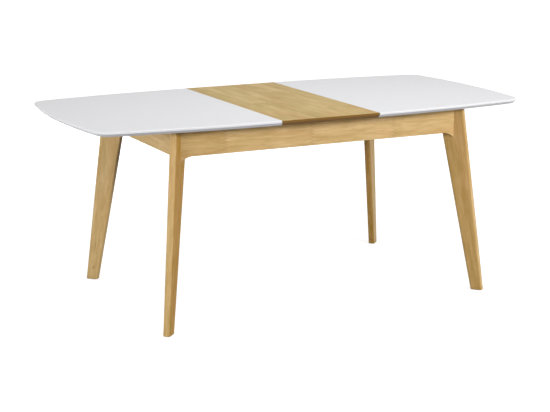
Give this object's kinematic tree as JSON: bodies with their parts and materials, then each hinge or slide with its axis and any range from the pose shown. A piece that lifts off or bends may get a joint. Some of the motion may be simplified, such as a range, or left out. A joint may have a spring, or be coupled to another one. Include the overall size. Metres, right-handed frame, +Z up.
{
  "type": "extending dining table",
  "caption": "Extending dining table: white top in two sliding halves, a loose wooden leaf between them, on a frame of aprons and splayed blade legs.",
  "frame": {"origin": "on the floor under the middle of the extended top", "axes": "+X along the table to the right, +Y to the back, +Z up"},
  "size_m": [1.8, 0.9, 0.75],
  "materials": {
    "white_lacquer": "satin white lacquer on medium density fibreboard",
    "leaf_wood": "clear matt lacquer on light hardwood, grain across the table",
    "frame_wood": "clear satin lacquer on light hardwood",
    "inner_wood": "bare planed hardwood",
    "zinc_steel": "zinc plated steel",
    "glide_plastic": "moulded brown plastic"
  },
  "bodies": {
    "frame": {"apron_back": "frame_wood", "apron_front": "frame_wood", "apron_left": "frame_wood", "apron_right": "frame_wood", "bearer_dowels": "inner_wood", "brace_screws": "zinc_steel", "centre_bearer": "inner_wood", "corner_brace_back_left": "inner_wood", "corner_brace_back_right": "inner_wood", "corner_brace_front_left": "inner_wood", "corner_brace_front_right": "inner_wood", "glide_back_left": "glide_plastic", "glide_back_right": "glide_plastic", "glide_front_left": "glide_plastic", "glide_front_right": "glide_plastic", "leaf_pegs": "inner_wood", "leg_back_left": "frame_wood", "leg_back_right": "frame_wood", "leg_bolts": "zinc_steel", "leg_front_left": "frame_wood", "leg_front_right": "frame_wood", "leg_nuts": "zinc_steel", "leg_washers": "zinc_steel", "rail_cleat_back_left": "inner_wood", "rail_cleat_back_right": "inner_wood", "rail_cleat_front_left": "inner_wood", "rail_cleat_front_right": "inner_wood", "rail_screws": "zinc_steel", "slide_rail_back": "inner_wood", "slide_rail_front": "inner_wood", "stop_pins": "zinc_steel"},
    "left_top": {"runner_left_back": "inner_wood", "runner_left_front": "inner_wood", "runner_screws_left": "zinc_steel", "top_left": "white_lacquer"},
    "right_top": {"runner_right_back": "inner_wood", "runner_right_front": "inner_wood", "runner_screws_right": "zinc_steel", "top_right": "white_lacquer"},
    "leaf": {"leaf_batten_back": "inner_wood", "leaf_batten_front": "inner_wood", "leaf_batten_screws": "zinc_steel", "leaf_panel": "leaf_wood"}
  },
  "joints": [
    {"name": "left_top_slide", "type": "slide", "parent": "frame", "child": "left_top", "axis": [-1, 0, 0], "range_m": [0, 0.015]},
    {"name": "right_top_slide", "type": "slide", "parent": "frame", "child": "right_top", "axis": [1, 0, 0], "range_m": [0, 0.055]},
    {"name": "leaf_lift", "type": "slide", "parent": "frame", "child": "leaf", "axis": [0, 0, 1], "range_m": [0, 0.1]}
  ]
}
